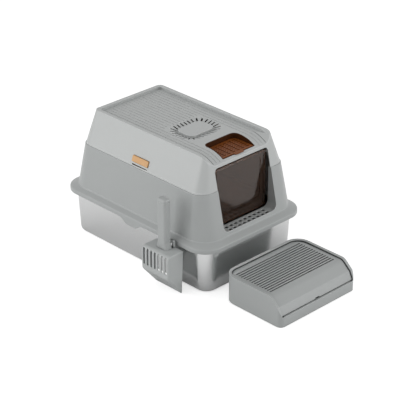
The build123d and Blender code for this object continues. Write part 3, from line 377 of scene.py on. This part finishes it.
class TRAY_OT_cover(Operator):
    """Finish the lower cover"""
    bl_idname = "tray.cover"
    bl_label = "Lower Cover"

    def execute(self, context):
        look = context.scene.tray_finish
        dress(
            moulded_plastic("cover_grey", look.cover_colour, look.plastic_roughness, look.edge_radius),
            "lower_cover"
        )
        return {"FINISHED"}


class TRAY_OT_lid(Operator):
    """Finish the lid"""
    bl_idname = "tray.lid"
    bl_label = "Lid"

    def execute(self, context):
        look = context.scene.tray_finish
        # Painted shade: the lid's vent slots, seams and rim groove are darkened down to 0.15 times its
        # colour.
        dress(
            moulded_plastic(
                "lid_grey", look.lid_colour, look.plastic_roughness, look.edge_radius,
                dimmest=0.15, shut=0.15, open_from=0.65
            ),
            "lid"
        )
        return {"FINISHED"}


class TRAY_OT_hatch(Operator):
    """Finish the roof hatch and the liner of its well"""
    bl_idname = "tray.hatch"
    bl_label = "Roof Hatch and Well"

    def execute(self, context):
        look = context.scene.tray_finish
        # Painted shade: the hatch's holes are darkened almost to black.
        dress(clear_plastic("amber", look.amber_colour, 0.34, 0.2, shine=0.08, dimmest=0.03), "roof_hatch")
        # Painted shade: the well's liner takes the hatch's amber at a fifth of its brightness, as shade
        # under the hatch.
        painted_shade_amber = tinted(look.amber_colour, 0.2)
        dress(clear_plastic("painted_shade_amber", painted_shade_amber, 0.4, 0.1, shine=0.15), "hatch_well")
        return {"FINISHED"}


class TRAY_OT_flap(Operator):
    """Finish the swing flap"""
    bl_idname = "tray.flap"
    bl_label = "Flap"

    def execute(self, context):
        look = context.scene.tray_finish
        dress(clear_plastic("smoke_clear", look.smoke_colour, 0.06, 0.92, shine=0.4), "flap")
        return {"FINISHED"}


class TRAY_OT_hinge_parts(Operator):
    """Finish the flap's rod, its brackets and their screws"""
    bl_idname = "tray.hinge_parts"
    bl_label = "Rod, Brackets and Screws"

    def execute(self, context):
        look = context.scene.tray_finish
        dress(turned_steel("pin_steel", look.pin_colour, 0.22), "flap_rod", "bracket_screws")
        dress(
            moulded_plastic("bracket_grey", look.lid_colour, look.plastic_roughness, 0.0006),
            "rod_bracket_left", "rod_bracket_right"
        )
        return {"FINISHED"}


class TRAY_OT_clips(Operator):
    """Finish the side clips and their pins"""
    bl_idname = "tray.clips"
    bl_label = "Clips"

    def execute(self, context):
        look = context.scene.tray_finish
        dress(moulded_plastic("clip_tan", look.clip_colour, 0.36, 0.001), "clip_left", "clip_right")
        dress(turned_steel("clip_pin_steel", look.pin_colour, 0.22), "clip_pin_left", "clip_pin_right")
        return {"FINISHED"}


class TRAY_OT_scoop(Operator):
    """Finish the scoop and its hanger"""
    bl_idname = "tray.scoop"
    bl_label = "Scoop"

    def execute(self, context):
        look = context.scene.tray_finish
        dress(
            moulded_plastic("scoop_grey", look.cover_colour, look.plastic_roughness, look.edge_radius),
            "scoop_handle", "scoop_end_cap", "scoop_hanger"
        )
        # Painted shade: the basket's sieve holes and slots are darkened down to 0.04 times its colour.
        dress(
            moulded_plastic(
                "basket_grey", tinted(look.cover_colour, 1.15), look.plastic_roughness, SMALL_EDGE,
                dimmest=0.04, shut=0.3, open_from=0.8
            ),
            "scoop_basket"
        )
        return {"FINISHED"}


class TRAY_OT_step(Operator):
    """Finish the step"""
    bl_idname = "tray.step"
    bl_label = "Step"

    def execute(self, context):
        look = context.scene.tray_finish
        # Painted shade: the step tray's corners and recesses are darkened down to 0.1 times its colour.
        dress(
            moulded_plastic(
                "step_grey", look.cover_colour, look.plastic_roughness, look.edge_radius,
                dimmest=0.1, open_from=0.7
            ),
            "step_tray"
        )
        # Painted shade: the step lid's slots are darkened almost to black.
        dress(
            moulded_plastic(
                "step_lid_grey", tinted(look.cover_colour, 0.96), look.plastic_roughness, look.edge_radius,
                dimmest=0.01, shut=0.5, open_from=0.85
            ),
            "step_lid"
        )
        dress(matt_rubber("foot_rubber", look.rubber_colour), "step_feet")
        return {"FINISHED"}


# Stage

def seen_rays(paint):
    """1 where the camera, a reflection or clear plastic looks, and 0 for light on its way to a piece."""
    camera = paint.add("ShaderNodeLightPath", output="Is Camera Ray")
    glossy = paint.add("ShaderNodeLightPath", output="Is Glossy Ray")
    through = paint.add("ShaderNodeLightPath", output="Is Transmission Ray")
    return camera.highest(glossy).highest(through)


def soft_lamp(name, place, size, power):
    """A square lamp that looks at the tray."""
    data = bpy.data.lights.new(name, "AREA")
    data.shape = "SQUARE"
    data.size = size
    data.energy = power
    lamp = bpy.data.objects.new(name, data)
    lamp.location = place
    lamp.rotation_euler = (Vector(LAMP_TARGET) - Vector(place)).to_track_quat("-Z", "Y").to_euler()
    bpy.context.scene.collection.objects.link(lamp)


class TRAY_OT_stage(Operator):
    """Make the floor, the lamps, the sky and the camera"""
    bl_idname = "tray.stage"
    bl_label = "Stage"

    def execute(self, context):
        scene = context.scene
        stage = scene.tray_stage

        half = stage.floor_size / 2
        corners = [(-half, -half, 0), (half, -half, 0), (half, half, 0), (-half, half, 0)]
        mesh = bpy.data.meshes.new("floor")
        mesh.from_pydata(corners, [], [(0, 1, 2, 3)])
        floor = bpy.data.objects.new("floor", mesh)
        floor.location.z = -FLOOR_DROP
        scene.collection.objects.link(floor)
        paint = Paint(bpy.data.materials.new("floor_white"))
        camera = paint.add("ShaderNodeLightPath", output="Is Camera Ray")
        glossy = paint.add("ShaderNodeLightPath", output="Is Glossy Ray")
        # Painted shade on the floor, for reflections only: its glow fades near pieces, so mirrors show a
        # darker floor there.
        far_off = paint.ramp(paint.shelter(FLOOR_SHADE_REACH), (0.6, 0.0), (1.0, 1.0))
        shown = camera.highest(glossy * far_off * 0.72)
        mesh.materials.append(paint.finish({
            "Base Color": (0.8, 0.8, 0.8),
            "Roughness": 0.9,
            "Specular IOR Level": 0.1,
            "Emission Color": paint.blend(shown, (0.0, 0.0, 0.0), (1.0, 1.0, 1.0)),
            "Emission Strength": 0.6,
        }))

        scene.world = bpy.data.worlds.new("studio")
        paint = Paint(scene.world)
        seen = seen_rays(paint)
        sky = paint.add("ShaderNodeBackground", {}, {
            "Color": (1.0, 1.0, 1.0),
            "Strength": stage.ambient + (1.0 - stage.ambient) * seen,
        }, "Background")
        paint.add("ShaderNodeOutputWorld", {}, {"Surface": sky})

        soft_lamp("side_lamp", SIDE_LAMP_PLACE, SIDE_LAMP_SIZE, stage.side_power)
        soft_lamp("front_lamp", FRONT_LAMP_PLACE, FRONT_LAMP_SIZE, stage.front_power)

        azimuth = stage.camera_azimuth
        height = stage.camera_elevation
        back = Vector((
            math.sin(azimuth) * math.cos(height), -math.cos(azimuth) * math.cos(height), math.sin(height)
        ))
        data = bpy.data.cameras.new("camera")
        data.sensor_width = 36.0
        data.lens = stage.camera_lens
        data.clip_start = 0.1
        data.clip_end = 200.0
        camera = bpy.data.objects.new("camera", data)
        camera.location = Vector(stage.camera_target) + back * stage.camera_distance
        camera.rotation_euler = (-back).to_track_quat("-Z", "Y").to_euler()
        scene.collection.objects.link(camera)
        scene.camera = camera
        scene.view_settings.view_transform = "Standard"
        return {"FINISHED"}


class TRAY_PT_panel(Panel):
    """Lists the pieces and what may be changed"""
    bl_label = "Litter Tray"
    bl_idname = "TRAY_PT_panel"
    bl_space_type = "VIEW_3D"
    bl_region_type = "UI"
    bl_category = "Litter Tray"

    def draw(self, context):
        layout = self.layout
        for settings in (context.scene.tray_finish, context.scene.tray_stage):
            column = layout.column(align=True)
            for name in settings.__annotations__:
                column.prop(settings, name)
        column = layout.column(align=True)
        for operator in MAKERS:
            column.operator(operator.bl_idname)


MAKERS = (
    TRAY_OT_pan, TRAY_OT_cover, TRAY_OT_lid, TRAY_OT_hatch, TRAY_OT_flap, TRAY_OT_hinge_parts, TRAY_OT_clips,
    TRAY_OT_scoop, TRAY_OT_step, TRAY_OT_stage,
)
CLASSES = (TrayFinish, TrayStage, *MAKERS, TRAY_PT_panel)


def register():
    for each in CLASSES:
        bpy.utils.register_class(each)
    bpy.types.Scene.tray_finish = PointerProperty(type=TrayFinish)
    bpy.types.Scene.tray_stage = PointerProperty(type=TrayStage)


def unregister():
    del bpy.types.Scene.tray_stage
    del bpy.types.Scene.tray_finish
    for each in reversed(CLASSES):
        bpy.utils.unregister_class(each)


def main():
    register()
    bpy.ops.tray.pan()
    bpy.ops.tray.cover()
    bpy.ops.tray.lid()
    bpy.ops.tray.hatch()
    bpy.ops.tray.flap()
    bpy.ops.tray.hinge_parts()
    bpy.ops.tray.clips()
    bpy.ops.tray.scoop()
    bpy.ops.tray.step()
    bpy.ops.tray.stage()


if __name__ == "__main__":
    main()
